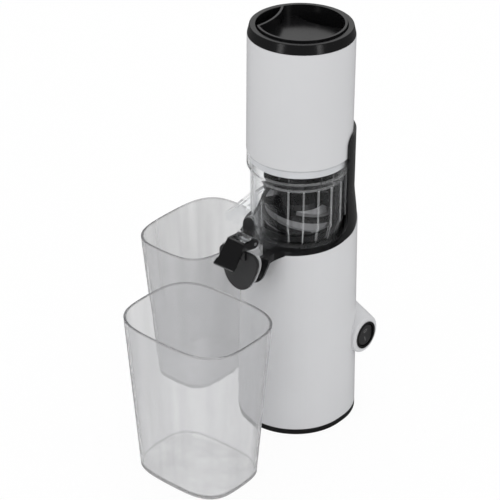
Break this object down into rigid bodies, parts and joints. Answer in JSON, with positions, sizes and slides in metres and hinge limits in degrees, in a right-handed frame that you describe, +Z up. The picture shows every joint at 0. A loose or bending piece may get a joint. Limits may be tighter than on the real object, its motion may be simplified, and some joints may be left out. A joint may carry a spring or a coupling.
{
  "type": "cold press juicer",
  "caption": "Slow cold press juicer: white oval stand with gear motor, clear pressing bowl, auger, valve spout, tall filling tube with pusher, and clear juice and pulp containers.",
  "frame": {"origin": "On the ground under the pressing axis, in the flat underside of the base cover.", "axes": "+Z up, the long way of the object; -Y towards the juice spout; +X towards the switch; -X towards the pulp chute."},
  "size_m": [0.206, 0.2361, 0.3744],
  "materials": {
    "white_plastic": "glossy white moulded plastic",
    "black_plastic": "glossy black moulded plastic",
    "black_satin": "satin black moulded plastic",
    "dark_grey_plastic": "matt dark grey moulded plastic",
    "clear_plastic": "clear moulded plastic",
    "rubber_black": "matt black rubber",
    "silicone_grey": "soft grey silicone",
    "steel": "plain steel",
    "motor_steel": "drawn steel can",
    "copper_winding": "enamelled copper winding and iron core",
    "bronze": "sintered bronze",
    "gear_plastic": "natural gear plastic",
    "case_grey": "grey gearbox plastic",
    "board_green": "printed circuit board"
  },
  "bodies": {
    "stand": {"body_shell": "white_plastic", "base_cover": "black_satin", "rubber_feet": "rubber_black", "base_screws": "steel", "deck_plate": "black_plastic", "rear_spine": "black_plastic", "shaft_seal": "rubber_black", "control_board": "board_green", "board_relay": "case_grey", "cord_inlet": "rubber_black", "switch_bezel": "black_satin", "rocker_pin": "steel", "motor_can": "motor_steel", "motor_stator": "copper_winding", "motor_endcap": "motor_steel", "motor_screws": "steel", "gearbox_housing": "case_grey", "gearbox_lid": "case_grey", "gearbox_screws": "steel", "output_bearing": "bronze"},
    "rotor": {"motor_rotor": "steel", "cooling_fan": "black_satin"},
    "layshaft": {"layshaft_gear": "gear_plastic"},
    "drive": {"drive_shaft": "steel"},
    "rocker": {"switch_rocker": "black_plastic"},
    "bowl_unit": {"bowl": "clear_plastic", "bowl_seal": "silicone_grey", "juice_spout": "clear_plastic", "pulp_chute": "clear_plastic", "lever_pin": "steel", "lever_stop": "dark_grey_plastic", "strainer": "black_satin"},
    "valve": {"valve_lever": "black_plastic", "valve_seal": "dark_grey_plastic"},
    "press_auger": {"auger": "black_plastic"},
    "filling_tube": {"hopper": "white_plastic", "hopper_ring": "black_plastic"},
    "pusher_unit": {"pusher": "black_plastic", "pusher_foot": "dark_grey_plastic"},
    "juice_cup": {"juice_container": "clear_plastic"},
    "pulp_cup": {"pulp_container": "clear_plastic"}
  },
  "joints": [
    {"name": "drive_spin", "type": "hinge", "parent": "stand", "child": "drive", "pos_m": [0, 0, 0.16], "axis": [0, 0, 1], "continuous": true},
    {"name": "layshaft_spin", "type": "hinge", "parent": "stand", "child": "layshaft", "pos_m": [0, 0.022, 0.13], "axis": [0, 0, 1], "continuous": true},
    {"name": "rotor_spin", "type": "hinge", "parent": "stand", "child": "rotor", "pos_m": [0, 0, 0.07], "axis": [0, 0, 1], "continuous": true},
    {"name": "bowl_lift", "type": "slide", "parent": "stand", "child": "bowl_unit", "axis": [0, 0, 1], "range_m": [0, 0.11]},
    {"name": "auger_spin", "type": "hinge", "parent": "bowl_unit", "child": "press_auger", "pos_m": [0, 0, 0.2], "axis": [0, 0, 1], "continuous": true},
    {"name": "tube_lift", "type": "slide", "parent": "bowl_unit", "child": "filling_tube", "axis": [0, 0, 1], "range_m": [0, 0.06]},
    {"name": "pusher_lift", "type": "slide", "parent": "filling_tube", "child": "pusher_unit", "axis": [0, 0, 1], "range_m": [0, 0.075]},
    {"name": "valve_open", "type": "hinge", "parent": "bowl_unit", "child": "valve", "pos_m": [0, -0.0685, 0.1985], "axis": [-1, 0, 0], "range_deg": [0, 55]},
    {"name": "switch_rock", "type": "hinge", "parent": "stand", "child": "rocker", "pos_m": [0.0468, 0.036, 0.0758], "axis": [0, 1, 0], "range_deg": [-11, 11]},
    {"name": "juice_cup_pull", "type": "slide", "parent": "stand", "child": "juice_cup", "axis": [0, -1, 0], "range_m": [0, 0.12]},
    {"name": "pulp_cup_pull", "type": "slide", "parent": "stand", "child": "pulp_cup", "axis": [-1, 0, 0], "range_m": [0, 0.12]}
  ],
  "couplings": [
    {"joint": "layshaft_spin", "follows": "drive_spin", "ratio": -4.5},
    {"joint": "rotor_spin", "follows": "drive_spin", "ratio": 23},
    {"joint": "auger_spin", "follows": "drive_spin", "ratio": 1}
  ]
}
